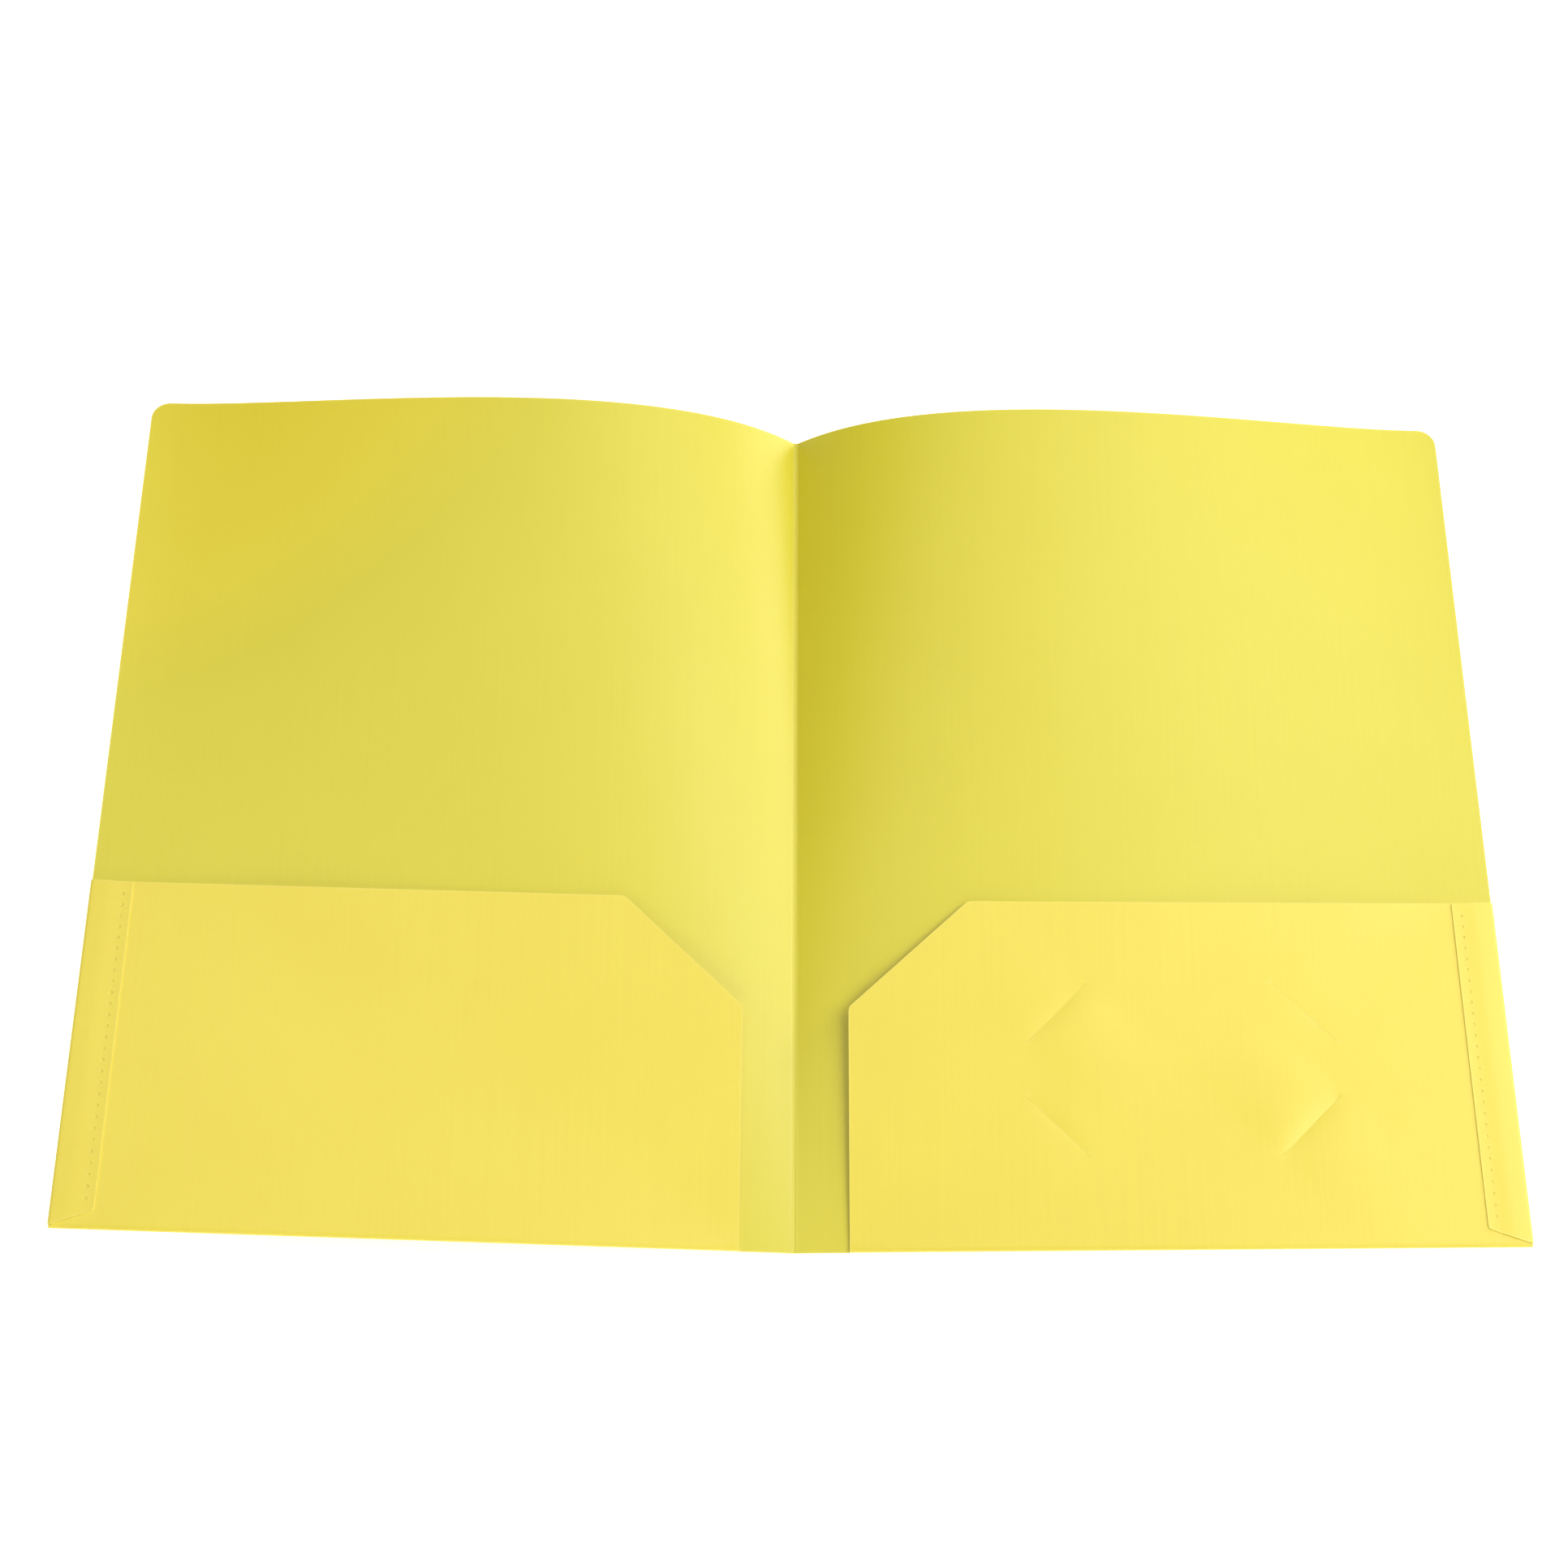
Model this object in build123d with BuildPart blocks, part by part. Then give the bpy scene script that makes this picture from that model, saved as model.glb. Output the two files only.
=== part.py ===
"""Two pocket folder of creased plastic sheet, lying open with its back cover on the desk."""

import os
from math import atan, atan2, cos, degrees, hypot, sin

from build123d import *

os.makedirs("parts", exist_ok=True)

# Sheet and covers, in millimetres and degrees
SHEET = 0.45
COVER_WIDTH = 236.0
FOLDER_HEIGHT = 298.5
FAR_DRAW = 6.7
OPEN_TILT = 9.67
CORNER_ROUND = 6.5
CUT_INSET = 0.3

# Spine crease, a scored web between the covers
WEB_WIDTH = 1.4
WEB_GAP = 0.15
SCORE_RADIUS = 0.22

# Arch of each cover at its far edge, drawn by two handles
ARCH_RUN = 59.2
ARCH_LIFT = 47.8
ARCH_LANDING = 47.9

# Pocket panel
POCKET_INSET = 18.0
POCKET_HEIGHT = 117.0
POCKET_GAP = 0.5
POCKET_RISE = 0.6
NOTCH_RUN = 40.0
NOTCH_RISE = 36.5
NOTCH_ROUND = 3.0

# Pocket lip, the free corner that bends about a line from the weld to the spine
LIP_CLEAR = 0.1
LIP_SLOT = 0.3
LIP_FOOT = 1.0
LIP_SHOULDER = 1.5

# Side flap and its welds
FLAP_WIDTH = 13.8
FLAP_FOOT = 1.2
FLAP_BEVEL = 5.0
FLAP_ROUND = 1.5
WELD_INSET = 2.8
WELD_PITCH = 3.8
WELD_RADIUS = 0.55
WELD_CLEAR = 0.02
WELD_FIRST = 10.0
WELD_LAST = 3.0
SIDE_CLEAR = 0.3

# Card slits in the back pocket
CARD_CENTRE_X = 127.5
CARD_CENTRE_Y = 60.0
SLIT_SPAN_X = 102.0
SLIT_SPAN_Y = 59.0
SLIT_RUN = 20.3
SLIT_WIDTH = 0.4

# Levels and lines that follow from the sizes
NEAR = -FOLDER_HEIGHT / 2
FAR = FOLDER_HEIGHT / 2
COVER_START = WEB_WIDTH / 2 + WEB_GAP
POCKET_UNDER = SHEET + POCKET_GAP
FLAP_UNDER = POCKET_UNDER + SHEET
BOTTOM_RADIUS = FLAP_UNDER / 2
SIDE_RADIUS = (FLAP_UNDER + SHEET) / 2

# The outer edge leans in towards the far end, because the arch takes up some of the sheet
LEAN = atan(FAR_DRAW / FOLDER_HEIGHT)
EDGE_DIR = Vector(-sin(LEAN), cos(LEAN), 0)
EDGE_OUT = Vector(cos(LEAN), sin(LEAN), 0)
EDGE_FOOT = Vector(COVER_WIDTH, NEAR, 0)


def edge_point(along, inset):
    """Plan point at a distance along the outer edge and inwards from it."""
    point = EDGE_FOOT + EDGE_DIR * along - EDGE_OUT * inset
    return (point.X, point.Y)


def edge_at(y, inset):
    """Plan point at a given depth on the line that runs inwards of the outer edge."""
    return edge_point((y - NEAR + inset * sin(LEAN)) / cos(LEAN), inset)


def edge_plane(height):
    """Plane whose x runs along the outer edge and y runs inwards."""
    return Plane(origin=(COVER_WIDTH, NEAR, height), x_dir=EDGE_DIR, z_dir=(0, 0, 1))


# Corners of the pocket panel in plan
POCKET_OUTER_LOW = edge_at(NEAR + BOTTOM_RADIUS, SIDE_RADIUS + SIDE_CLEAR)
POCKET_OUTER_TOP = edge_point(POCKET_HEIGHT, SIDE_RADIUS + SIDE_CLEAR)
NOTCH_TOP = (POCKET_INSET + NOTCH_RUN, NEAR + POCKET_HEIGHT + POCKET_RISE)
NOTCH_LOW = (POCKET_INSET, NOTCH_TOP[1] - NOTCH_RISE)
POCKET_INNER_LOW = (POCKET_INSET, NEAR + BOTTOM_RADIUS)
TOP_SLOPE = (POCKET_OUTER_TOP[1] - NOTCH_TOP[1]) / (POCKET_OUTER_TOP[0] - NOTCH_TOP[0])


def pocket_top(x):
    """Height of the pocket's top edge in plan."""
    return NOTCH_TOP[1] + TOP_SLOPE * (x - NOTCH_TOP[0])


# Flex line of the lip, from the foot of the inner edge to the top of the weld
FLEX_FOOT = (POCKET_INSET, NEAR + BOTTOM_RADIUS + LIP_FOOT)
FLEX_HEAD_X = edge_point(POCKET_HEIGHT, FLAP_WIDTH + LIP_SHOULDER)[0]
FLEX_HEAD = (FLEX_HEAD_X, pocket_top(FLEX_HEAD_X))
FLEX_ANGLE = atan2(FLEX_HEAD[1] - FLEX_FOOT[1], FLEX_HEAD[0] - FLEX_FOOT[0])
FLEX_DIR = Vector(cos(FLEX_ANGLE), sin(FLEX_ANGLE), 0)
FLEX_ORIGIN = Vector(FLEX_FOOT[0], FLEX_FOOT[1], POCKET_UNDER)
SLOT_UP = LIP_SLOT / 2 / cos(FLEX_ANGLE)
SLOT_BACK = LIP_SLOT / 2 / sin(FLEX_ANGLE)

# The cover bends along the same line, carried on to the near edge and to the outer edge
FLEX_NEAR_X = FLEX_FOOT[0] - (FLEX_FOOT[1] - NEAR) * cos(FLEX_ANGLE) / sin(FLEX_ANGLE)
FLEX_START = (COVER_START - FLEX_FOOT[0]) / cos(FLEX_ANGLE)
EDGE_REACH = edge_at(FLEX_FOOT[1], CUT_INSET)[0] - FLEX_FOOT[0]
FLEX_END = EDGE_REACH * cos(LEAN) / cos(FLEX_ANGLE - LEAN)
FLEX_EDGE = (FLEX_FOOT[0] + FLEX_END * cos(FLEX_ANGLE), FLEX_FOOT[1] + FLEX_END * sin(FLEX_ANGLE))
FLEX_SIDE = FLEX_DIR.cross(Vector(0, 0, 1))
FLEX_UPRIGHT = Plane(origin=(FLEX_FOOT[0], FLEX_FOOT[1], 0), x_dir=FLEX_DIR, z_dir=FLEX_SIDE)
FAR_UPRIGHT = Plane(origin=(0, FAR, 0), x_dir=(1, 0, 0), z_dir=(0, -1, 0))
NEAR_UPRIGHT = Plane(origin=(0, NEAR, 0), x_dir=(1, 0, 0), z_dir=(0, -1, 0))



def arch_slope(share):
    """Slope of the arch straight up from the flex line, at a share of the way along its handles."""
    rest = 1 - share
    far_x = edge_at(FAR, CUT_INSET)[0]
    x = COVER_START * rest**3 + 3 * (COVER_START + ARCH_RUN) * rest**2 * share
    x += 3 * (far_x - ARCH_LANDING) * rest * share**2 + far_x * share**3
    flex_y = FLEX_FOOT[1] + (x - FLEX_FOOT[0]) * sin(FLEX_ANGLE) / cos(FLEX_ANGLE)
    return 3 * ARCH_LIFT * rest**2 * share / (FAR - flex_y)


# The lip gapes by a little more than the cover's steepest rise, so it stays clear of the arch
STEEPEST = max(arch_slope(i / 50) for i in range(50))
LIP_GAPE = degrees(atan((STEEPEST + LIP_CLEAR / POCKET_HEIGHT) / cos(FLEX_ANGLE)))
LIP_NORMAL = Vector(0, 0, 1).rotate(Axis((0, 0, 0), FLEX_DIR), LIP_GAPE)
LIP_PLANE = Plane(origin=FLEX_ORIGIN, x_dir=FLEX_DIR, z_dir=LIP_NORMAL)

# Planes across the two half round folds of a pocket
BOTTOM_END = (POCKET_INSET, NEAR + BOTTOM_RADIUS, BOTTOM_RADIUS)
BOTTOM_ACROSS = Plane(origin=BOTTOM_END, x_dir=(0, 1, 0), z_dir=(1, 0, 0))
SIDE_END = (*edge_point(POCKET_HEIGHT, SIDE_RADIUS), SIDE_RADIUS)
SIDE_ACROSS = Plane(origin=SIDE_END, x_dir=EDGE_OUT, z_dir=EDGE_DIR * -1)


def on_lip(point):
    """Plan point in the lip's own plane, along the flex line and away from it."""
    dx = point[0] - FLEX_FOOT[0]
    dy = point[1] - FLEX_FOOT[1]
    c = cos(FLEX_ANGLE)
    s = sin(FLEX_ANGLE)
    return (dx * c + dy * s, dy * c - dx * s)


# Ends of the four card slits in plan, one across each corner of the card
SLIT_LEFT = CARD_CENTRE_X - SLIT_SPAN_X / 2
SLIT_RIGHT = CARD_CENTRE_X + SLIT_SPAN_X / 2
SLIT_LOW = NEAR + CARD_CENTRE_Y - SLIT_SPAN_Y / 2
SLIT_HIGH = NEAR + CARD_CENTRE_Y + SLIT_SPAN_Y / 2
SLITS = [
    ((SLIT_LEFT, SLIT_HIGH - SLIT_RUN), (SLIT_LEFT + SLIT_RUN, SLIT_HIGH)),
    ((SLIT_LEFT, SLIT_LOW + SLIT_RUN), (SLIT_LEFT + SLIT_RUN, SLIT_LOW)),
    ((SLIT_RIGHT - SLIT_RUN, SLIT_LOW), (SLIT_RIGHT, SLIT_LOW + SLIT_RUN)),
    ((SLIT_RIGHT - SLIT_RUN, SLIT_HIGH), (SLIT_RIGHT, SLIT_HIGH - SLIT_RUN)),
]


def slit_places(points):
    """Middle, turn and length of each slit, from its two ends."""
    places = []
    for first, second in points:
        middle = ((first[0] + second[0]) / 2, (first[1] + second[1]) / 2)
        turn = degrees(atan2(second[1] - first[1], second[0] - first[0]))
        length = hypot(second[0] - first[0], second[1] - first[1])
        places.append((middle, turn, length))
    return places


# Weld spots along the flap
WELD_SPAN = POCKET_HEIGHT - WELD_FIRST - WELD_LAST
WELD_COUNT = int(WELD_SPAN / WELD_PITCH) + 1
WELD_POINTS = [(WELD_FIRST + i * WELD_PITCH, FLAP_WIDTH - WELD_INSET) for i in range(WELD_COUNT)]

# Back cover: flat below the flex line, where the pocket holds it, and arched from there to the far edge
with BuildPart() as back_cover:
    with BuildSketch(Plane.XY):
        with BuildLine():
            Polyline((FLEX_NEAR_X, NEAR), edge_at(NEAR, CUT_INSET), FLEX_EDGE, close=True)
        make_face()
    extrude(amount=SHEET)
    with BuildSketch(FLEX_UPRIGHT):
        with BuildLine():
            Polyline((FLEX_START, 0), (FLEX_END, 0), (FLEX_END, SHEET), (FLEX_START, SHEET), close=True)
        make_face()
    with BuildSketch(FAR_UPRIGHT):
        with BuildLine():
            far_x = edge_at(FAR, CUT_INSET)[0]
            low = Bezier(
                (COVER_START, 0), (COVER_START + ARCH_RUN, ARCH_LIFT), (far_x - ARCH_LANDING, 0), (far_x, 0)
            )
            high = Bezier(
                (COVER_START, SHEET),
                (COVER_START + ARCH_RUN, ARCH_LIFT + SHEET),
                (far_x - ARCH_LANDING, SHEET),
                (far_x, SHEET),
            )
            Line(low @ 1, high @ 1)
            Line(low @ 0, high @ 0)
        make_face()
    loft(ruled=True)
    with BuildSketch(Plane.XY) as cut_outline:
        with BuildLine():
            Polyline((0, NEAR), edge_at(NEAR, CUT_INSET), edge_at(FAR, CUT_INSET), (0, FAR), close=True)
        make_face()
        fillet(cut_outline.vertices().group_by(Axis.Y)[-1].sort_by(Axis.X)[-1], radius=CORNER_ROUND)
    extrude(amount=ARCH_LIFT, both=True, mode=Mode.INTERSECT)
    with BuildSketch(Plane.XY):
        with Locations((POCKET_INSET, NEAR)):
            Rectangle(COVER_WIDTH, 2 * BOTTOM_RADIUS, align=(Align.MIN, Align.CENTER))
    extrude(amount=2 * SHEET, both=True, mode=Mode.SUBTRACT)
    with BuildSketch(edge_plane(0)):
        with Locations((POCKET_HEIGHT, SIDE_RADIUS)):
            Rectangle(2 * POCKET_HEIGHT, 2 * SIDE_RADIUS, align=(Align.MAX, Align.MAX))
    extrude(amount=2 * SHEET, both=True, mode=Mode.SUBTRACT)

# Spine crease: a thin web with a round score along the fold's axis
with BuildPart() as spine_crease:
    with BuildSketch(NEAR_UPRIGHT):
        Rectangle(WEB_WIDTH, SHEET, align=(Align.CENTER, Align.MIN))
        with Locations((0, SHEET)):
            Circle(SCORE_RADIUS, mode=Mode.SUBTRACT)
    extrude(amount=-FOLDER_HEIGHT)

# Back bottom crease: the half round fold under the pocket
with BuildPart() as back_bottom_crease:
    with BuildSketch(BOTTOM_ACROSS):
        Circle(BOTTOM_RADIUS)
        Circle(POCKET_GAP / 2, mode=Mode.SUBTRACT)
        Rectangle(BOTTOM_RADIUS, 2 * BOTTOM_RADIUS, align=(Align.MIN, Align.CENTER), mode=Mode.SUBTRACT)
    extrude(amount=POCKET_OUTER_LOW[0] - POCKET_INSET)

# Back side crease: the half round fold between the cover and the flap
with BuildPart() as back_side_crease:
    with BuildSketch(SIDE_ACROSS):
        Circle(SIDE_RADIUS)
        Circle(SIDE_RADIUS - SHEET, mode=Mode.SUBTRACT)
        Rectangle(SIDE_RADIUS, 2 * SIDE_RADIUS, align=(Align.MAX, Align.CENTER), mode=Mode.SUBTRACT)
    extrude(amount=POCKET_HEIGHT - FLAP_FOOT)

# Plain pocket panel: the part that the fold and the weld hold still
with BuildPart() as plain_pocket:
    with BuildSketch(Plane.XY.offset(POCKET_UNDER)):
        with BuildLine():
            Polyline(
                POCKET_INNER_LOW,
                POCKET_OUTER_LOW,
                POCKET_OUTER_TOP,
                (FLEX_HEAD[0] + SLOT_BACK, pocket_top(FLEX_HEAD[0] + SLOT_BACK)),
                (FLEX_FOOT[0], FLEX_FOOT[1] - SLOT_UP),
                close=True,
            )
        make_face()
    extrude(amount=SHEET)
    with BuildSketch(edge_plane(POCKET_UNDER)):
        with Locations(*WELD_POINTS):
            Circle(WELD_RADIUS)
    extrude(amount=SHEET, mode=Mode.SUBTRACT)

# Plain pocket lip: the free corner with its slanted notch, which gapes over the cover's arch
with BuildPart() as plain_lip:
    with BuildSketch(LIP_PLANE) as lip_face:
        with BuildLine():
            Polyline(
                on_lip((FLEX_FOOT[0], FLEX_FOOT[1] + SLOT_UP)),
                on_lip((FLEX_HEAD[0] - SLOT_BACK, pocket_top(FLEX_HEAD[0] - SLOT_BACK))),
                on_lip(NOTCH_TOP),
                on_lip(NOTCH_LOW),
                close=True,
            )
        make_face()
        fillet(lip_face.vertices().group_by(Axis.Y)[-2:], radius=NOTCH_ROUND)
    extrude(amount=SHEET)

# Back pocket and its lip have the card slits
with BuildPart() as back_pocket:
    add(plain_pocket.part)
    with BuildSketch(Plane.XY.offset(POCKET_UNDER)):
        for middle, turn, length in slit_places(SLITS):
            with Locations(Location((middle[0], middle[1], 0), turn)):
                Rectangle(length, SLIT_WIDTH)
    extrude(amount=SHEET, mode=Mode.SUBTRACT)

with BuildPart() as back_pocket_lip:
    add(plain_lip.part)
    with BuildSketch(LIP_PLANE):
        for middle, turn, length in slit_places([(on_lip(a), on_lip(b)) for a, b in SLITS]):
            with Locations(Location((middle[0], middle[1], 0), turn)):
                Rectangle(length, SLIT_WIDTH)
    extrude(amount=SHEET, mode=Mode.SUBTRACT)

# Back side flap: folded over the pocket's outer edge, with a bevelled foot
with BuildPart() as back_side_flap:
    with BuildSketch(edge_plane(FLAP_UNDER)) as flap_face:
        with BuildLine():
            Polyline(
                (FLAP_FOOT, SIDE_RADIUS),
                (POCKET_HEIGHT, SIDE_RADIUS),
                (POCKET_HEIGHT, FLAP_WIDTH),
                (FLAP_FOOT + FLAP_BEVEL, FLAP_WIDTH),
                close=True,
            )
        make_face()
        fillet(flap_face.vertices().group_by(Axis.X)[0].sort_by(Axis.Y)[0], radius=FLAP_ROUND)
        with Locations(*WELD_POINTS):
            Circle(WELD_RADIUS, mode=Mode.SUBTRACT)
    extrude(amount=SHEET)

# Back weld row: the melted spots that join the flap to the pocket
with BuildPart() as back_weld_row:
    with BuildSketch(edge_plane(POCKET_UNDER)):
        with Locations(*WELD_POINTS):
            Circle(WELD_RADIUS - WELD_CLEAR)
    extrude(amount=2 * SHEET)

# Front side: the same pieces mirrored across the spine and tilted up on the crease
FRONT_TURN = (0, OPEN_TILT, 0)

with BuildPart() as front_cover:
    add(mirror(back_cover.part, about=Plane.YZ, mode=Mode.PRIVATE), rotation=FRONT_TURN)

with BuildPart() as front_bottom_crease:
    add(mirror(back_bottom_crease.part, about=Plane.YZ, mode=Mode.PRIVATE), rotation=FRONT_TURN)

with BuildPart() as front_side_crease:
    add(mirror(back_side_crease.part, about=Plane.YZ, mode=Mode.PRIVATE), rotation=FRONT_TURN)

with BuildPart() as front_pocket:
    add(mirror(plain_pocket.part, about=Plane.YZ, mode=Mode.PRIVATE), rotation=FRONT_TURN)

with BuildPart() as front_pocket_lip:
    add(mirror(plain_lip.part, about=Plane.YZ, mode=Mode.PRIVATE), rotation=FRONT_TURN)

with BuildPart() as front_side_flap:
    add(mirror(back_side_flap.part, about=Plane.YZ, mode=Mode.PRIVATE), rotation=FRONT_TURN)

with BuildPart() as front_weld_row:
    add(mirror(back_weld_row.part, about=Plane.YZ, mode=Mode.PRIVATE), rotation=FRONT_TURN)

# Every piece goes to its own file
back_cover.part.label = "back_cover"
export_step(back_cover.part, "parts/back_cover.step")
spine_crease.part.label = "spine_crease"
export_step(spine_crease.part, "parts/spine_crease.step")
back_bottom_crease.part.label = "back_bottom_crease"
export_step(back_bottom_crease.part, "parts/back_bottom_crease.step")
back_side_crease.part.label = "back_side_crease"
export_step(back_side_crease.part, "parts/back_side_crease.step")
back_pocket.part.label = "back_pocket"
export_step(back_pocket.part, "parts/back_pocket.step")
back_pocket_lip.part.label = "back_pocket_lip"
export_step(back_pocket_lip.part, "parts/back_pocket_lip.step")
back_side_flap.part.label = "back_side_flap"
export_step(back_side_flap.part, "parts/back_side_flap.step")
back_weld_row.part.label = "back_weld_row"
export_step(back_weld_row.part, "parts/back_weld_row.step")
front_cover.part.label = "front_cover"
export_step(front_cover.part, "parts/front_cover.step")
front_bottom_crease.part.label = "front_bottom_crease"
export_step(front_bottom_crease.part, "parts/front_bottom_crease.step")
front_side_crease.part.label = "front_side_crease"
export_step(front_side_crease.part, "parts/front_side_crease.step")
front_pocket.part.label = "front_pocket"
export_step(front_pocket.part, "parts/front_pocket.step")
front_pocket_lip.part.label = "front_pocket_lip"
export_step(front_pocket_lip.part, "parts/front_pocket_lip.step")
front_side_flap.part.label = "front_side_flap"
export_step(front_side_flap.part, "parts/front_side_flap.step")
front_weld_row.part.label = "front_weld_row"
export_step(front_weld_row.part, "parts/front_weld_row.step")
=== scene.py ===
"""Looks of an open two pocket folder: creased and welded plastic sheet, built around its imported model."""

from math import atan, cos, hypot, pi, radians, sin, tan

import bpy
import numpy as np
from bpy.props import FloatProperty, FloatVectorProperty, PointerProperty
from mathutils import Matrix, Vector
from mathutils.geometry import delaunay_2d_cdt


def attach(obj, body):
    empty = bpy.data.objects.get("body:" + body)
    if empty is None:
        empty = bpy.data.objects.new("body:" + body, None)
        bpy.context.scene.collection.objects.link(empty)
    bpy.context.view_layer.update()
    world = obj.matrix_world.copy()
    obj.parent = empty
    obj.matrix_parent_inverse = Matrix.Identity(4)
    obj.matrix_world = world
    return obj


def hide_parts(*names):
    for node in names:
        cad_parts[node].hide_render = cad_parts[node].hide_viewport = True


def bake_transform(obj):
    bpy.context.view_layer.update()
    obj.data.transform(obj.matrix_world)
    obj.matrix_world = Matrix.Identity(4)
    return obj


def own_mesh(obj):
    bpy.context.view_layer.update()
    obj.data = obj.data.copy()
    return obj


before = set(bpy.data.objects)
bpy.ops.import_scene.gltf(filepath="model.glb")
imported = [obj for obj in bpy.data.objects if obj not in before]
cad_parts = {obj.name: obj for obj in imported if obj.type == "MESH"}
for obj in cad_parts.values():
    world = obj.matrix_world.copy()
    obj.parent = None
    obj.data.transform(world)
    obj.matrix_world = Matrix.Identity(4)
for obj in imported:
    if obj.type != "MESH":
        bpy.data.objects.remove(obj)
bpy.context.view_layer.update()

bl_info = {
    "name": "Two pocket folder",
    "version": (1, 0, 0),
    "blender": (4, 5, 0),
    "location": "View3D > Sidebar > Folder",
    "description": "Builds an open plastic folder with two welded pockets",
    "category": "Object",
}

# Small details of the sheets' shape, lengths in millimetres
FRONT_TILT = radians(9.67)  # angle that the front cover stands up at
LIP_ROOM = 0.1  # how much a lip rises clear of the arch across the pocket's height
SLIT_SIDES = ((0.5, 1.0), (0.45, 0.3), (1.25, 0.8), (0.15, 0.12))  # how strongly each slit's two sides bend
SLIT_REACH = 9.0  # from a slit to about where the sheet beside it stands highest
SLIT_FALL = 2  # how fast the sunk edge of a slit fades away from it
SLIT_FULLNESS = 0.6  # below 1 the bend is fuller towards the ends of a slit
FLAP_CURL = 1.5  # above 1 the flap's free margin curls up late
HEEL_RUN = 0.9  # how far the bottom fold runs on past the pocket's outer edge
HEEL_RISE = 0.3  # how high that end of the fold reaches up
LIP_BLEND = 10  # distance either side of the middle of the lip's bend line at which a point is worked out for each pocket

# Section of a weld spot from its middle outwards and down: shares of its radius, millimetres above the flap
WELD_MIDDLE = -0.1
WELD_FOOT = -0.4
WELD_DISH = ((0.45, -0.09), (0.75, -0.07), (0.95, -0.01))
WELD_RIM = ((1.1, 0.03), (1.22, 0.02), (1.3, -0.02))
WELD_STEM = ((0.97, -0.04), (0.97, WELD_FOOT))
WELD_SECTION = WELD_DISH + WELD_RIM + WELD_STEM

# Section of the spine, in millimetres
GROOVE_WIDTH = 0.28  # half width of the scored groove
GROOVE_UNDER = 0.3  # how much of the groove's depth bulges out underneath
SPINE_BEND = 1.0  # width in which the spine turns from one cover to the other

# Fineness of the meshes, lengths in millimetres
ARCH_POINTS = 400
ARC_STEPS = 8
HOLE_STEPS = 12
WELD_STEPS = 14
SPINE_STEPS = 14
SPINE_ROWS = 60
FLOOR_STEPS = 48
FOLD_STRETCH = 30.0  # width of a fold on its blank, so that it gets enough points
ROW_STEP = 0.866  # from one row of points to the next, as a share of the mesh step
EDGE_ROOM = 0.55  # room between those points and the outline, as a share of the mesh step
MARGIN = 1.2  # from the outline to the ring of points along it
RING_ROOM = 0.6  # room between that ring and the outline, as a share of the margin
HOLE_RINGS = (1.2, 2.4, 4.0, 6.0)  # how far across a hole its rings of points are drawn
HOLE_MARGIN = 0.4  # the same for the ring of points closest to a slit
HOLE_ROOM = 0.6  # room between the outer rings' points and a hole
NORMAL_STEP = 0.02  # distance over which a surface's slope is taken
RIM = 0.03  # how far the rounded cut edge stands out past the faces
SHARP_ANGLE = radians(55)
FLAT_UNIT = 100  # millimetres in one unit of the flat places that the grain is drawn by
SAME_POINT = 1e-5  # points of a blank nearer than this become one
TINY = 1e-12  # stands in for a length of zero in a division
TRIANGLES_INSIDE = 1  # the kind of cut that leaves only the triangles inside the outline

# Grain of the sheet, by its flat places: scale, share of the tone, relief, layers of noise
CLOUD_SCALE, CLOUD_TONE = 2.2, 0.7
STREAK_SCALE, STREAK_TONE, STREAK_HEIGHT = 1.0, 0.5, 0.5
STREAK_STRETCH = (90, 1.2, 1)  # many across the sheet, few along it
GRAIN_SCALE, GRAIN_TONE, GRAIN_DEPTH = 330.0, 0.2, 0.0003
BROAD_LAYERS, FINE_LAYERS = 3.0, 2.0
TONE_SHIFT = (CLOUD_TONE + STREAK_TONE + GRAIN_TONE - 1) / 2  # puts the mean tone half way
ROUGH_SPREAD = 0.1  # how much streaks and grain each change the roughness
# Painted highlight along the cut edges: how close to an edge the paler colour reaches, and how strongly it
# shows
PAINTED_EDGE_FADE, PAINTED_EDGE_SHARE = 3, 0.25  # how close to a cut edge its colour shows, and how much of it

# Melted plastic of the welds
PUDDLE_SCALE, PUDDLE_BUMP, PUDDLE_DEPTH = 120.0, 0.3, 0.0002
PUDDLE_PALE = 1.2  # paler puddles against deeper ones
MELT_SMOOTH, MELT_SPREAD = 0.2, 0.15  # how much smoother than the sheet, and how much that varies

# Soft lights: side of the square in metres, place, and whether the sheet's gloss shows it
SOFT_LIGHTS = {
    "window": (0.9, (0.9, 0.0, 1.0), True),
    "right_wall": (0.4, (0.95, 0.45, 0.3), True),
    "overhead": (0.6, (-0.25, 0.35, 1.6), True),
    "far_light": (0.9, (0.6, 0.9, 1.6), True),
    "left_fill": (0.8, (-1.0, 0.0, 0.45), False),
    "near_fill": (0.8, (0.0, -1.0, 0.4), True),
}
SPILL_COLOUR, SPILL_PLACE = (1.0, 0.3, 0.0), (-0.342, 0.308, 1.25)
SPILL_ANGLE, SPILL_BLEND = radians(28), 0.25

# Floor: distance from the middle and height of each ring of its bowl, in metres, and its matt face
FLOOR_BOWL = ((3.0, 0.0), (6.0, 0.0), (8.0, 0.06), (9.4, 0.25), (10.4, 0.7), (11.0, 1.5))
FLOOR_DROP = 0.0004  # from the folder down to the floor
FLOOR_ROUGHNESS, FLOOR_GLOSS = 0.9, 0.1
WHITE = (1, 1, 1, 1)

# Camera that sees the folder as the photograph does, lens in millimetres
CAMERA_PLACE = (0.04106, -0.38033, 0.92569)
CAMERA_DOWN, CAMERA_TURN, CAMERA_LEAN = radians(66.8), radians(6.493), radians(-6.839)
CAMERA_LENS, CAMERA_SENSOR, CAMERA_SHIFT = 67.17, 36, 0.0027


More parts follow.
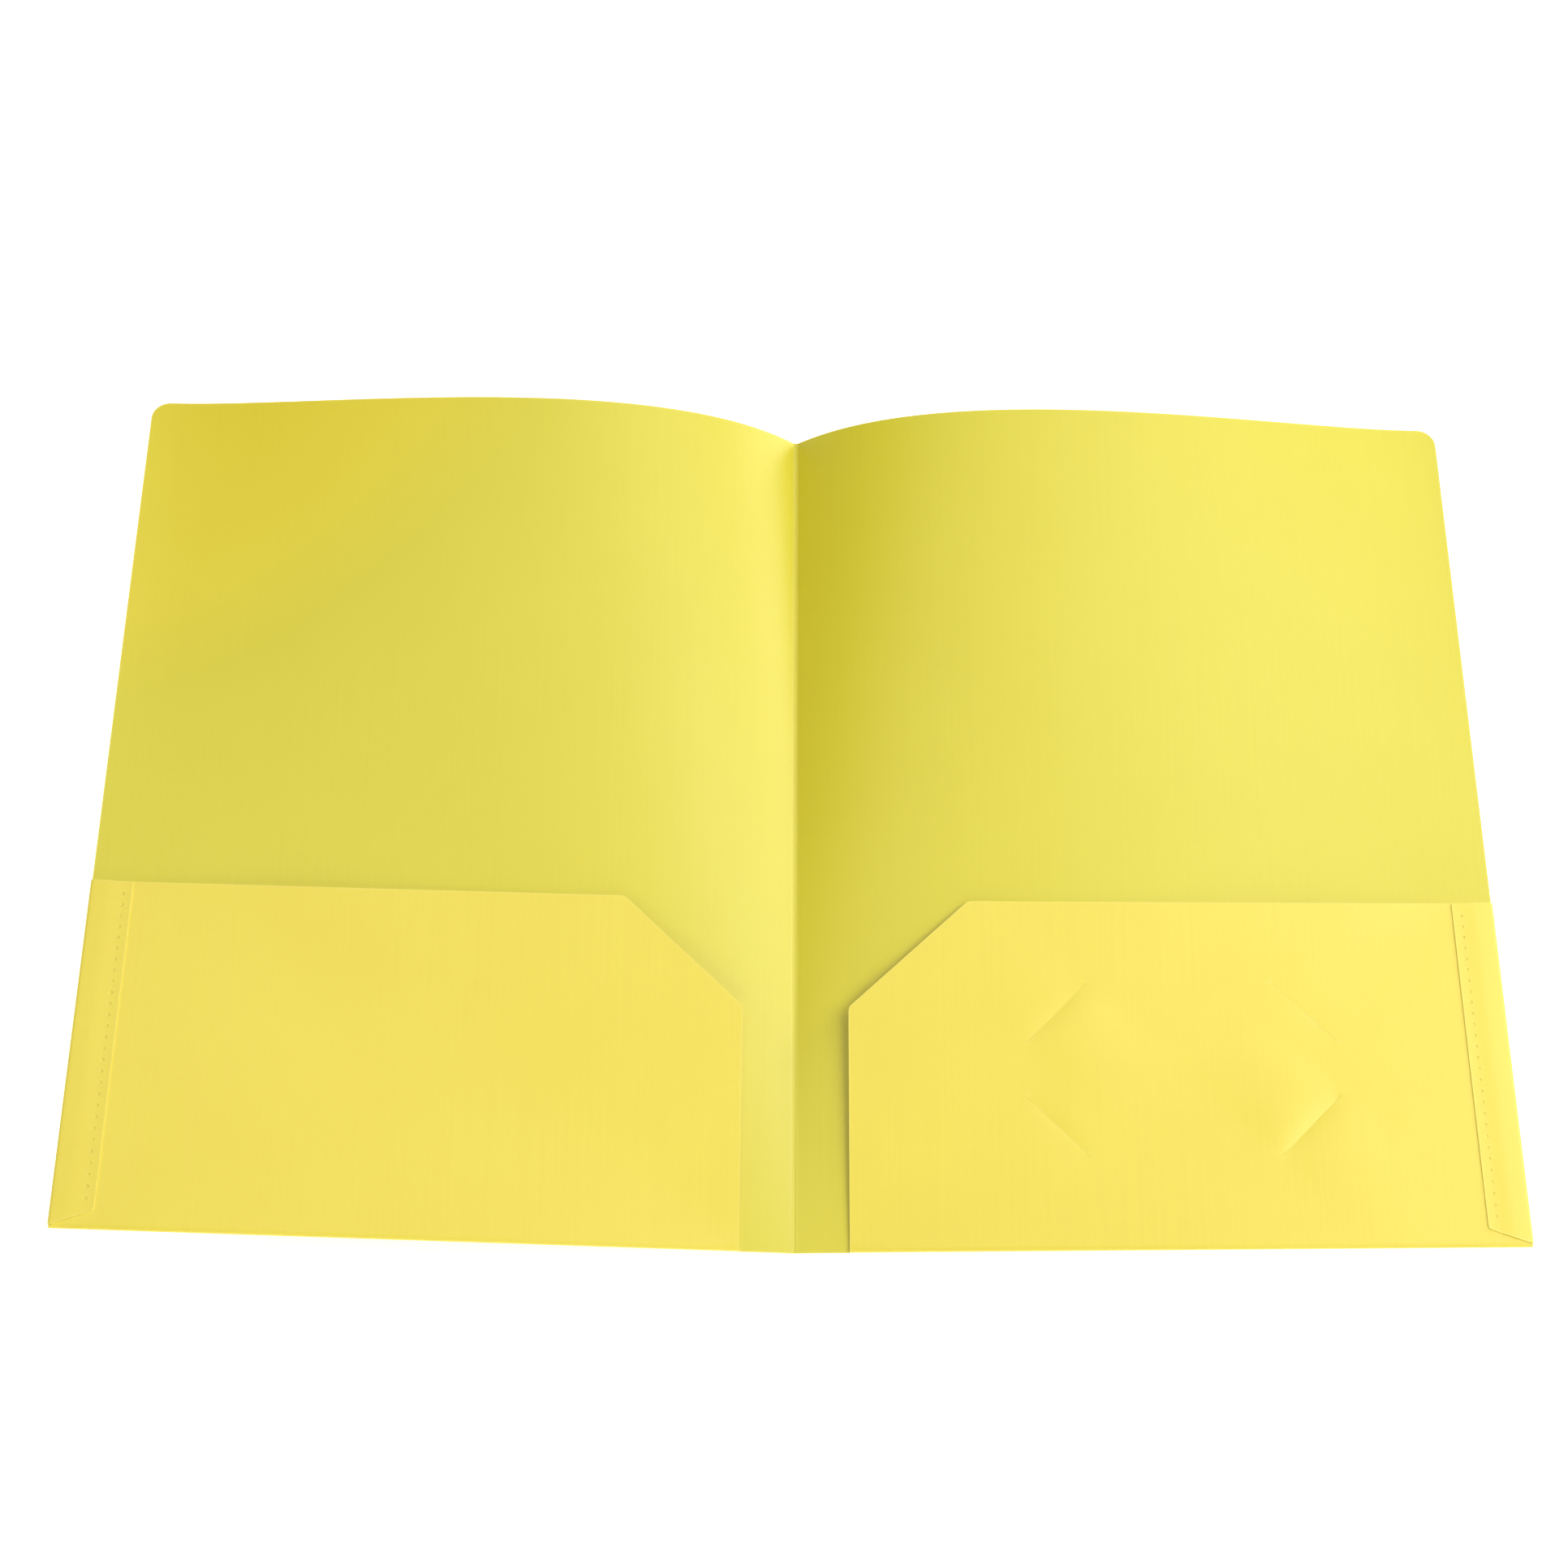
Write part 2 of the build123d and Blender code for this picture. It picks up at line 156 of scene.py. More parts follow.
def length(name, millimetres, description):
    """A length that the sidebar shows in the scene's unit."""
    return FloatProperty(
        name=name, description=description, default=millimetres / 1000, min=0, precision=5, unit="LENGTH"
    )


def share(name, value, description):
    """A number from 0 to 1."""
    return FloatProperty(name=name, description=description, default=value, min=0, max=1, subtype="FACTOR")


def colour(name, value, description):
    """A colour in linear light."""
    return FloatVectorProperty(
        name=name, description=description, default=value, size=3, min=0, max=1, subtype="COLOR"
    )


def power(name, watts, description):
    """A light's power."""
    return FloatProperty(name=name, description=description, default=watts, min=0, unit="POWER")


class FolderSizes(bpy.types.PropertyGroup):
    """Lengths of the sheet, its folds, pockets, flaps and slits."""

    sheet: length("Sheet", 0.45, "Thickness of the plastic sheet")
    cover_width: length("Cover width", 236, "From the spine to the outer edge at the near end")
    folder_height: length("Folder height", 298.5, "Along the spine")
    far_draw: length("Far draw", 6.7, "How far the arch pulls the far corner in towards the spine")
    corner_round: length("Corner round", 6.5, "Radius of the far corners")
    cut_inset: length("Cut inset", 0.3, "Step of the cover's cut edge inside the side fold")
    cover_start: length("Cover start", 0.85, "Half width of the scored spine")
    score_depth: length("Score depth", 0.03, "Depth of the groove along the spine")
    arch_run: length("Arch run", 59.2, "Reach of the arch's handle at the spine")
    arch_lift: length("Arch lift", 47.8, "Height of the arch's handle at the spine")
    arch_landing: length("Arch landing", 47.9, "Reach of the arch's handle at the outer edge")
    pocket_inset: length("Pocket inset", 18, "From the spine to the pocket's inner edge")
    pocket_height: length("Pocket height", 117, "From the fold to the pocket's top")
    pocket_gap: length("Pocket gap", 0.5, "Room between the cover and the pocket")
    pocket_rise: length("Pocket rise", 0.6, "How much higher the top edge is at the notch")
    notch_run: length("Notch run", 40, "Width of the slanted corner")
    notch_rise: length("Notch rise", 36.5, "Height of the slanted corner")
    notch_round: length("Notch round", 3, "Radius at both ends of the slant")
    lip_foot: length("Lip foot", 1, "From the fold to the foot of the line that the lip bends on")
    lip_shoulder: length("Lip shoulder", 1.5, "From the flap to the head of that line")
    bend_ends: length("Bend at its ends", 1.5, "Half width of the lip's bend at both ends of its line")
    bend_middle: length("Bend in the middle", 24, "Extra half width of the bend half way along")
    flap_width: length("Flap width", 13.8, "From the outer edge to the flap's inner edge")
    flap_foot: length("Flap foot", 1.2, "From the near edge to the flap's foot")
    flap_bevel: length("Flap bevel", 5, "Rise of the flap's slanted foot")
    flap_round: length("Flap round", 1.5, "Radius at the inner end of the foot")
    flap_lift: length("Flap lift", 0.08, "How far the flap's free margin stands up past the welds")
    flap_swell: length("Flap swell", 0.15, "How far the flap bulges between its fold and the welds")
    side_clear: length("Side clear", 0.3, "Room between the pocket and the side fold")
    weld_inset: length("Weld inset", 2.8, "From the flap's inner edge to the weld row")
    weld_pitch: length("Weld pitch", 3.8, "From one weld spot to the next")
    weld_radius: length("Weld radius", 0.55, "Radius of a weld spot")
    weld_first: length("First weld", 10, "From the near edge to the first spot")
    weld_last: length("Last weld", 3, "From the last spot to the pocket's top")
    card_x: length("Card place", 127.5, "From the spine to the middle of the card slits")
    card_y: length("Card height", 60, "From the near edge to the middle of the card slits")
    slit_span_x: length("Slit span", 102, "Width that the four slits take up")
    slit_span_y: length("Slit rise", 59, "Height that the four slits take up")
    slit_run: length("Slit run", 20.3, "Width and height of one slanted slit")
    slit_width: length("Slit width", 0.03, "Width of the cut")
    slit_dip: length("Slit dip", 0.35, "How far the sheet sinks at a slit")
    slit_swell: length("Slit swell", 0.6, "How far it stands up beside the slit")
    mesh_step: length("Mesh step", 4, "Distance between the points of a sheet")


class FolderFinish(bpy.types.PropertyGroup):
    """Colours and gloss of the plastic sheet, with its painted glows and painted edge highlight."""

    inside_deep: colour("Inside, deep", (0.697, 0.606, 0.0245), "Deeper tone of the inside face")
    inside_pale: colour("Inside, pale", (0.741, 0.656, 0.034), "Paler tone of the inside face")
    outside_deep: colour("Outside, deep", (0.821, 0.661, 0.05), "Deeper tone of the outside face")
    outside_pale: colour("Outside, pale", (0.878, 0.727, 0.068), "Paler tone of the outside face")
    # Painted highlight: the cut edges and a thin margin beside them are coloured paler, standing in for light
    # that the sheet scatters at its edges
    cut_edge: colour("Cut edge", (0.92, 0.83, 0.25), "Sheet where it was cut")
    weld: colour("Weld", (0.78, 0.63, 0.07), "Melted weld spots")
    roughness: share("Roughness", 0.44, "Roughness of the satin face")
    gloss: share("Gloss", 0.8, "Strength of the pale reflections")
    grain: share("Grain", 0.10, "Strength of the fine matt grain")
    # Painted glow: the sheet gives off its own colour as light everywhere, standing in for light that comes
    # through it from behind
    painted_through_glow: share("See through", 0.05, "Light that comes through the sheet from behind")
    # Painted glow of the cut edges, a painted highlight standing in for light that the sheet leads to them
    painted_edge_glow: share("Edge glow", 0.1, "Light that the sheet leads to its cut edges")


class FolderStage(bpy.types.PropertyGroup):
    """Powers of the lights, and the floor."""

    window: power("Window", 11.7, "Power of the large soft light high on the right")
    right_wall: power("Right wall", 3.7, "Power of the soft light low on the far right")
    overhead: power("Overhead", 3.2, "Power of the soft light overhead")
    far_light: power("Far light", 5.8, "Power of the soft light high beyond the folder")
    left_fill: power("Left fill", 3.6, "Power of the soft light low on the left")
    near_fill: power("Near fill", 4.5, "Power of the soft light low on the viewer's side")
    warm: power("Warm spill", 4.8, "Power of the warm lamp that reaches the far left corner")
    room: share("Room light", 0.005, "Strength of the pale light all round")
    floor: colour("Floor", (0.93, 0.93, 0.93), "Pale floor")
    floor_glow: share("Floor glow", 0.65, "Light of the floor itself, which thins the shadows on it")


class FolderShape:
    """Lines and surfaces of one side of the folder in millimetres, lying with its spine along x = 0."""

    def __init__(self, sizes):
        for name in FolderSizes.__annotations__:
            setattr(self, name, getattr(sizes, name) * 1000)
        self.near = -self.folder_height / 2
        self.far = self.folder_height / 2
        self.pocket_mid = self.sheet * 1.5 + self.pocket_gap
        self.flap_mid = self.pocket_mid + self.sheet
        self.bottom_round = (self.sheet * 2 + self.pocket_gap) / 2
        self.side_round = self.bottom_round + self.sheet / 2
        self.fold_y = self.near + self.bottom_round
        lean = atan(self.far_draw / self.folder_height)
        self.lean_cos, self.lean_sin = cos(lean), sin(lean)
        self.set_pocket_corners()
        self.set_flex_line()
        self.set_arch()

    def set_pocket_corners(self):
        """Finds the pocket's corners beside the flap and at both ends of the slant."""
        self.pocket_side = self.side_round + self.side_clear
        self.pocket_low = self.edge_at(self.fold_y, self.pocket_side)
        self.pocket_corner = self.edge_point(self.pocket_height, self.pocket_side)
        top = self.near + self.pocket_height + self.pocket_rise
        self.notch_top = (self.pocket_inset + self.notch_run, top)
        self.notch_low = (self.pocket_inset, self.notch_top[1] - self.notch_rise)

    def set_flex_line(self):
        """Finds the line that the lip bends on, from the foot of the pocket's inner edge to its top."""
        slope = (self.pocket_corner[1] - self.notch_top[1]) / (self.pocket_corner[0] - self.notch_top[0])
        head_x = self.edge_point(self.pocket_height, self.flap_width + self.lip_shoulder)[0]
        head_y = self.notch_top[1] + slope * (head_x - self.notch_top[0])
        self.flex_foot = (self.pocket_inset, self.fold_y + self.lip_foot)
        run, climb = head_x - self.flex_foot[0], head_y - self.flex_foot[1]
        self.flex_length = hypot(run, climb)
        self.flex_cos, self.flex_sin = run / self.flex_length, climb / self.flex_length

    def set_arch(self):
        """Finds the curve of the far edge and the angle at which the lip stays clear of the arch."""
        t = np.linspace(0, 1, ARCH_POINTS)
        far_x = self.edge_at(self.far, self.cut_inset)[0]
        handle, landing = self.cover_start + self.arch_run, far_x - self.arch_landing
        x = self.cover_start * (1 - t) ** 3 + 3 * handle * (1 - t) ** 2 * t
        x += 3 * landing * (1 - t) * t**2 + far_x * t**3
        self.arch_share = (x - self.cover_start) / (far_x - self.cover_start)
        self.arch_height = 3 * self.arch_lift * (1 - t) ** 2 * t
        steepest = np.max(self.arch_height / (self.far - self.flex_y(x)))
        self.lip_gape = atan((steepest + LIP_ROOM / self.pocket_height) / self.flex_cos)

    def edge_point(self, along, inset):
        """Plan point at a distance along the outer edge and inwards from it."""
        x = self.cover_width - self.lean_sin * along - self.lean_cos * inset
        return (x, self.near + self.lean_cos * along - self.lean_sin * inset)

    def edge_at(self, y, inset):
        """Plan point at a given y on the line that runs inset from the outer edge."""
        return self.edge_point((y - self.near + inset * self.lean_sin) / self.lean_cos, inset)

    def flex_y(self, x):
        """Where the line that the lip bends on passes a given x."""
        return self.flex_foot[1] + (x - self.flex_foot[0]) * self.flex_sin / self.flex_cos

    def along_flex(self, x, y):
        """Distance along the line that the lip bends on, and across it towards the free corner."""
        dx, dy = x - self.flex_foot[0], y - self.flex_foot[1]
        return dx * self.flex_cos + dy * self.flex_sin, dy * self.flex_cos - dx * self.flex_sin

    def past_flex(self, x, y):
        """Distance past the bend, rounded off so that the sheet turns smoothly there."""
        along, across = self.along_flex(x, y)
        u = np.clip(along / self.flex_length, 0, 1)
        half = self.bend_ends + self.bend_middle * 4 * u * (1 - u)
        rounded = (np.clip(across, -half, half) + half) ** 2 / (4 * half)
        return rounded + np.maximum(across - half, 0)

    def cover(self, x, y):
        """Middle of the cover's sheet: flat up to the bend, then arched more and more."""
        edge = self.edge_at(y, self.cut_inset)[0]
        place = np.clip((x - self.cover_start) / (edge - self.cover_start), 0, 1)
        arch = np.interp(place, self.arch_share, self.arch_height)
        rise = arch * self.past_flex(x, y) / self.flex_cos / (self.far - self.flex_y(x))
        return np.stack([x, y, self.sheet / 2 + rise], axis=1)

    def fold(self, away, radius):
        """Reach and height of a half round fold, from the upper sheet at 0 to the lower one at 1."""
        turn = np.clip(away, 0, 1) * pi
        middle = radius - self.sheet / 2
        return middle * np.sin(turn), middle * (np.cos(turn) - 1)

    def pocket(self, x, y):
        """Middle of the pocket's sheet, from its bottom fold up to the gaping lip."""
        away = (self.fold_y - y) / FOLD_STRETCH
        flat_y = np.maximum(y, self.fold_y)
        past = self.past_flex(x, flat_y)
        back = (1 - cos(self.lip_gape)) * past
        reach, drop = self.fold(away, self.bottom_round)
        plan_x = x + back * self.flex_sin
        plan_y = flat_y - back * self.flex_cos - reach
        return np.stack([plan_x, plan_y, self.pocket_mid + sin(self.lip_gape) * past + drop], axis=1)

    def card_pocket(self, x, y):
        """Pocket whose sheet sinks at the card slits and stands up beside them."""
        points = self.pocket(x, y)
        for (first, second), (left, right) in zip(self.slits(), SLIT_SIDES):
            run, ux, uy = heading(first, second)
            along = ((x - first[0]) * ux + (y - first[1]) * uy) / run
            across = (y - first[1]) * ux - (x - first[0]) * uy
            fullness = np.sin(np.clip(along, 0, 1) * pi) ** SLIT_FULLNESS
            strength = np.where(across > 0, left, right) * fullness
            away = np.abs(across) / SLIT_REACH
            raised = self.slit_swell * away * np.exp(1 - away)
            sunk = self.slit_dip * np.exp(-SLIT_FALL * away)
            points[:, 2] += strength * (raised - sunk)
        return points

    def slits(self):
        """Ends of the four card slits."""
        left, right = self.card_x - self.slit_span_x / 2, self.card_x + self.slit_span_x / 2
        low = self.near + self.card_y - self.slit_span_y / 2
        high = low + self.slit_span_y
        run = self.slit_run
        return [
            ((left, high - run), (left + run, high)),
            ((left, low + run), (left + run, low)),
            ((right - run, low), (right, low + run)),
            ((right - run, high), (right, high - run)),
        ]

    def slit_cuts(self):
        """Outlines of the four card slits."""
        cuts = []
        for first, second in self.slits():
            _, ux, uy = heading(first, second)
            aside = np.array((-uy, ux)) * (self.slit_width / 2)
            cuts.append([first - aside, second - aside, second + aside, first + aside])
        return cuts

    def flap(self, along, inset):
        """Middle of the flap's sheet, by distance along the outer edge and inwards from it."""
        away = (self.side_round - inset) / FOLD_STRETCH
        reach, drop = self.fold(away, self.side_round)
        flat = np.maximum(inset, self.side_round) - reach
        weld = self.flap_width - self.weld_inset
        margin = np.clip((inset - weld - self.weld_radius) / self.weld_inset, 0, 1)
        belly = np.clip((inset - self.side_round) / (weld - self.side_round), 0, 1)
        rise = self.flap_lift * margin**FLAP_CURL + self.flap_swell * np.sin(belly * pi) ** 2
        x = self.cover_width - self.lean_sin * along - self.lean_cos * flat
        y = self.near + self.lean_cos * along - self.lean_sin * flat
        return np.stack([x, y, self.flap_mid + drop + rise], axis=1)

    def welds(self):
        """Places of the weld spots, along the outer edge and inwards from it."""
        count = int((self.pocket_height - self.weld_first - self.weld_last) / self.weld_pitch) + 1
        inset = self.flap_width - self.weld_inset
        return [(self.weld_first + i * self.weld_pitch, inset) for i in range(count)]

    def cover_outline(self):
        """Outline of a cover's blank, which ends where the folds begin."""
        return rounded_outline(
            [
                (self.cover_start, self.near, 0),
                (self.pocket_inset, self.near, 0),
                (self.pocket_inset, self.fold_y, 0),
                (*self.edge_at(self.fold_y, self.side_round), 0),
                (*self.edge_point(self.pocket_height, self.side_round), 0),
                (*self.edge_point(self.pocket_height, self.cut_inset), 0),
                (*self.edge_at(self.far, self.cut_inset), self.corner_round),
                (self.cover_start, self.far, 0),
            ]
        )

    def pocket_outline(self):
        """Outline of a pocket's blank with its bottom fold."""
        low = self.fold_y - FOLD_STRETCH
        heel_x, heel_y = self.pocket_low[0] + HEEL_RUN, self.fold_y + HEEL_RISE
        return rounded_outline(
            [
                (self.pocket_inset, low, 0),
                (heel_x, low, 0),
                (heel_x, heel_y, 0),
                (*self.edge_at(heel_y, self.pocket_side), 0),
                (*self.pocket_corner, 0),
                (*self.notch_top, self.notch_round),
                (*self.notch_low, self.notch_round),
            ]
        )

    def flap_outline(self):
        """Outline of a flap's blank with its side fold, along the outer edge and inwards from it."""
        under = self.side_round - FOLD_STRETCH
        return rounded_outline(
            [
                (self.flap_foot, under, 0),
                (self.pocket_height, under, 0),
                (self.pocket_height, self.flap_width, 0),
                (self.flap_foot + self.flap_bevel, self.flap_width, self.flap_round),
                (self.flap_foot, self.side_round, 0),
            ]
        )


def heading(first, second):
    """Distance from one plan point to another, and the unit direction."""
    run = hypot(second[0] - first[0], second[1] - first[1])
    return run, (second[0] - first[0]) / run, (second[1] - first[1]) / run


def turns(count):
    """Angles of points spaced evenly round a circle."""
    return [2 * pi * k / count for k in range(count)]


def rounded_outline(corners):
    """Outline through corners given as x, y and radius, with an arc at each rounded one."""
    points = []
    count = len(corners)
    for i, (x, y, radius) in enumerate(corners):
        corner = Vector((x, y))
        if not radius:
            points.append((x, y))
            continue
        back = (Vector(corners[i - 1][:2]) - corner).normalized()
        ahead = (Vector(corners[(i + 1) % count][:2]) - corner).normalized()
        half = back.angle(ahead) / 2
        centre = corner + (back + ahead).normalized() * (radius / sin(half))
        start = corner + back * (radius / tan(half)) - centre
        turn = start.angle_signed(corner + ahead * (radius / tan(half)) - centre)
        for k in range(ARC_STEPS + 1):
            points.append(tuple(centre + Matrix.Rotation(-turn * k / ARC_STEPS, 2) @ start))
    return points


def divided(outline, step):
    """Outline with extra points, about one step apart."""
    points = []
    for i, first in enumerate(outline):
        second = outline[(i + 1) % len(outline)]
        pieces = max(1, int(hypot(second[0] - first[0], second[1] - first[1]) / step + 0.5))
        for k in range(pieces):
            points.append([first[j] + (second[j] - first[j]) * k / pieces for j in (0, 1)])
    return np.array(points)


def inside(points, loop):
    """Which points lie inside a closed loop."""
    x, y = points[:, :1], points[:, 1:]
    x1, y1 = loop[:, 0], loop[:, 1]
    x2, y2 = np.roll(x1, -1), np.roll(y1, -1)
    crosses = (y1 > y) != (y2 > y)
    with np.errstate(divide="ignore", invalid="ignore"):
        where = x1 + (y - y1) / (y2 - y1) * (x2 - x1)
    return (crosses & (x < where)).sum(1) % 2 == 1


def distance(points, loop):
    """Distance from each point to a closed loop."""
    first, side = loop, np.roll(loop, -1, axis=0) - loop
    offset = points[:, None, :] - first[None]
    t = np.clip((offset * side).sum(2) / np.maximum((side * side).sum(1), TINY), 0, 1)
    return np.linalg.norm(offset - t[..., None] * side, axis=2).min(1)


def outwards(loop):
    """Unit direction out of a loop at each of its points, for a loop that runs anticlockwise."""
    ahead = np.roll(loop, -1, axis=0) - loop
    ahead /= np.linalg.norm(ahead, axis=1, keepdims=True)
    normal = np.stack([ahead[:, 1], -ahead[:, 0]], axis=1)
    both = normal + np.roll(normal, 1, axis=0)
    return both / np.maximum(np.linalg.norm(both, axis=1, keepdims=True), TINY)


def in_blank(points, loop, holes):
    """Which points lie inside the outline and outside the holes."""
    keep = inside(points, loop)
    for hole in holes:
        keep &= ~inside(points, hole)
    return keep


def cut_blank(outline, holes, step):
    """Points and triangles of a flat blank, with finer points along its outline and round its holes."""
    loop = divided(outline, step)
    holes = [divided(hole, step) for hole in holes]
    low, high = loop.min(0), loop.max(0)
    rows = np.arange(low[1], high[1], step * ROW_STEP)
    columns = np.arange(low[0], high[0], step)
    grid = np.array([(x + (r % 2) * step / 2, y) for r, y in enumerate(rows) for x in columns])
    # A ring is drawn inwards from its loop, so a ring wider than its hole comes out on the hole's other side
    close = [loop - outwards(loop) * MARGIN] + [hole - outwards(hole) * HOLE_MARGIN for hole in holes]
    close = np.concatenate(close)
    close = close[in_blank(close, loop, holes) & (distance(close, loop) > MARGIN * RING_ROOM)]
    free = np.concatenate([grid] + [hole - outwards(hole) * reach for hole in holes for reach in HOLE_RINGS])
    keep = in_blank(free, loop, holes) & (distance(free, loop) > step * EDGE_ROOM)
    for hole in holes:
        keep &= distance(free, hole) > HOLE_ROOM
    places = np.concatenate([loop, *holes, close, free[keep]])
    edges, start = [], 0
    for count in map(len, (loop, *holes)):
        edges += [(start + i, start + (i + 1) % count) for i in range(count)]
        start += count
    cut = delaunay_2d_cdt([Vector(p) for p in places], edges, [], TRIANGLES_INSIDE, SAME_POINT)
    points = np.array([tuple(p) for p in cut[0]])
    triangles = np.array([face for face in cut[2] if len(face) == 3])
    triangles = triangles[in_blank(points[triangles].mean(1), loop, holes)]
    a, b, c = (points[triangles[:, k]] for k in range(3))
    clockwise = (b[:, 0] - a[:, 0]) * (c[:, 1] - a[:, 1]) < (b[:, 1] - a[:, 1]) * (c[:, 0] - a[:, 0])
    triangles[clockwise] = triangles[clockwise][:, ::-1]
    return points, triangles


def normals(surface, points):
    """Unit normals of a surface at flat points."""
    x, y = points[:, 0], points[:, 1]
    along = surface(x + NORMAL_STEP, y) - surface(x - NORMAL_STEP, y)
    across = surface(x, y + NORMAL_STEP) - surface(x, y - NORMAL_STEP)
    normal = np.cross(along, across)
    return normal / np.linalg.norm(normal, axis=1, keepdims=True)


def cut_edges(triangles):
    """Edges that only one triangle has, in the direction that keeps the sheet on their left."""
    sides = np.concatenate([triangles[:, (0, 1)], triangles[:, (1, 2)], triangles[:, (2, 0)]])
    known = {tuple(side) for side in sides.tolist()}
    return [side for side in sides.tolist() if (side[1], side[0]) not in known]


def thick_sheet(name, blank, surface, thickness, side, materials):
    """Mesh of a sheet with both faces and a slightly rounded cut edge, from a flat blank and its surface."""
    points, triangles = blank
    count = len(points)
    rim = cut_edges(triangles)
    out = np.zeros_like(points)
    for first, second in rim:
        edge = points[second] - points[first]
        edge = np.array([edge[1], -edge[0]]) / np.linalg.norm(edge)
        out[first] += edge
        out[second] += edge
    size = np.linalg.norm(out, axis=1, keepdims=True)
    out = np.where(size > 0, out / np.maximum(size, TINY), 0)
    face = points - out * RIM
    middle, normal = surface(face[:, 0], face[:, 1]), normals(surface, face)
    top, bottom = middle + normal * thickness / 2, middle - normal * thickness / 2
    on_rim = np.unique(rim)
    belt = surface(points[on_rim, 0], points[on_rim, 1])
    belt_of = {i: 2 * count + k for k, i in enumerate(on_rim.tolist())}
    faces = triangles.tolist() + (triangles[:, ::-1] + count).tolist()
    faces += [[b, a, belt_of[a], belt_of[b]] for a, b in rim]
    faces += [[belt_of[b], belt_of[a], a + count, b + count] for a, b in rim]
    slots = [0] * len(triangles) + [1] * len(triangles) + [2] * (2 * len(rim))
    verts = side(np.concatenate([top, bottom, belt]))
    flat = np.concatenate([points, points, points[on_rim]])
    # Nearness to a cut edge: the mask of the painted edge highlight
    near = np.zeros(len(verts))
    near[on_rim] = near[on_rim + count] = near[2 * count :] = 1
    return mesh_piece(name, verts, faces, slots, flat, materials, side.mirrored, near)


def linked(name, data):
    """An object with this data, linked to the scene."""
    made = bpy.data.objects.new(name, data)
    bpy.context.scene.collection.objects.link(made)
    return made


def mesh_piece(name, verts, faces, slots, flat, materials, mirrored=False, near=None):
    """Object from points and faces, with its flat places for the grain and the nearness of its cut edges,
    which masks their painted highlight.
    """
    if mirrored:
        faces = [face[::-1] for face in faces]
    if near is None:
        near = np.zeros(len(verts))
    mesh = bpy.data.meshes.new(name)
    mesh.from_pydata(verts.tolist(), [], faces)
    mesh.polygons.foreach_set("material_index", slots)
    mesh.polygons.foreach_set("use_smooth", [True] * len(faces))
    corner = np.zeros(len(mesh.loops), np.int32)
    mesh.loops.foreach_get("vertex_index", corner)
    places = (flat / FLAT_UNIT)[corner].astype(np.float32)
    mesh.uv_layers.new(name="flat").data.foreach_set("uv", places.ravel())
    mesh.attributes.new("cut_edge", "FLOAT", "POINT").data.foreach_set("value", near.astype(np.float32))
    for material in materials:
        mesh.materials.append(material)
    mesh.set_sharp_from_angle(angle=SHARP_ANGLE)
    mesh.validate()
    return linked(name, mesh)


class Side:
    """One side of the folder: the back lies on the desk, and the front is its mirror image, tilted up."""

    def __init__(self, name, tilt, mirrored):
        self.name = name
        self.tilt = tilt
        self.mirrored = mirrored

    def __call__(self, points):
        """Points of the flat side in millimetres put where this side is, in metres."""
        x, y, z = points.T / 1000
        if self.mirrored:
            x = -x
        c, s = cos(self.tilt), sin(self.tilt)
        return np.stack([x * c + z * s, y, z * c - x * s], axis=1)

    def point(self, x, y, z):
        """One point in millimetres put where this side is, in metres."""
        return tuple(self(np.array([[x, y, z]]))[0])


BACK = Side("back", 0.0, False)
FRONT = Side("front", FRONT_TILT, True)
SIDES = (BACK, FRONT)


class Wire:
    """A shader socket: arithmetic on it adds Math nodes, and node() adds any other node."""

    def __init__(self, tree, socket=None):
        self.tree = tree
        self.socket = socket

    def node(self, kind, settings, sockets, output=0):
        """Adds a node, sets it up, then gives its sockets their values or links."""
        made = self.tree.nodes.new(kind)
        for name, value in settings.items():
            setattr(made, name, value)
        for key, value in sockets.items():
            if isinstance(value, Wire):
                value.into(made.inputs[key])
            else:
                made.inputs[key].default_value = value
        return Wire(self.tree, made.outputs[output])

    def into(self, socket):
        """Links this socket to one that takes its value."""
        self.tree.links.new(self.socket, socket)

    def math(self, operation, first, second):
        """Adds a Math node for two values."""
        return self.node("ShaderNodeMath", {"operation": operation}, {0: first, 1: second})

    def __add__(self, other):
        return self.math("ADD", self, other)

    def __sub__(self, other):
        return self.math("SUBTRACT", self, other)

    def __rsub__(self, other):
        return self.math("SUBTRACT", other, self)

    def __mul__(self, other):
        return self.math("MULTIPLY", self, other)

    def __pow__(self, other):
        return self.math("POWER", self, other)

    def __rpow__(self, other):
        return self.math("POWER", other, self)

    __radd__, __rmul__ = __add__, __mul__

    def between(self, low, high):
        """Colour from low to high as this value goes from 0 to 1."""
        first, second = (end if isinstance(end, Wire) else (*end, 1) for end in (low, high))
        # A Mix node takes its colours at sockets 6 and 7 and gives the mixed one at 2
        return self.node("ShaderNodeMix", {"data_type": "RGBA"}, {0: self, 6: first, 7: second}, 2)


def new_finish(name):
    """A new material, its shader's sockets and a first wire in its node tree."""
    material = bpy.data.materials.new(name)
    material.use_nodes = True
    tree = material.node_tree
    return material, tree.nodes["Principled BSDF"].inputs, Wire(tree)


def noise(start, place, scale, layers):
    """Noise over the flat places of a sheet."""
    return start.node("ShaderNodeTexNoise", {}, {"Vector": place, "Scale": scale, "Detail": layers})


